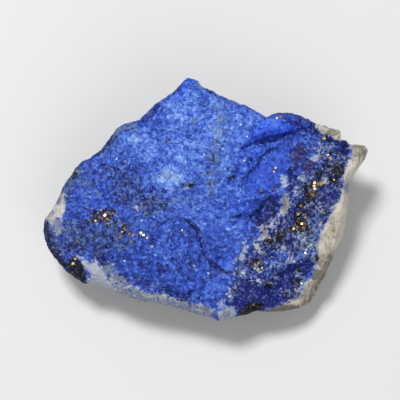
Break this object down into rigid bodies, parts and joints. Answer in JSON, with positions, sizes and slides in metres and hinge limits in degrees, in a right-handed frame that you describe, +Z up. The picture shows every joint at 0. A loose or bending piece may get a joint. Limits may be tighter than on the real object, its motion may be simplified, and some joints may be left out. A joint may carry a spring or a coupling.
{
  "type": "rough lapis lazuli",
  "caption": "Rough lapis lazuli hand specimen: a wedge-shaped broken lump with one broad blue face, lying on a small flat spot on its back.",
  "frame": {"origin": "centre of the box around the stone, on the floor it rests on", "axes": "+X along the stone's length, to the right as the broad face is looked at; +Y towards the thick, raised upper end; +Z up"},
  "size_m": [0.055, 0.0394, 0.0206],
  "materials": {
    "lapis": "rough broken blue lazurite with white calcite at the edges and specks of pyrite"
  },
  "bodies": {
    "root": {"lapis_stone": "lapis"}
  },
  "joints": []
}
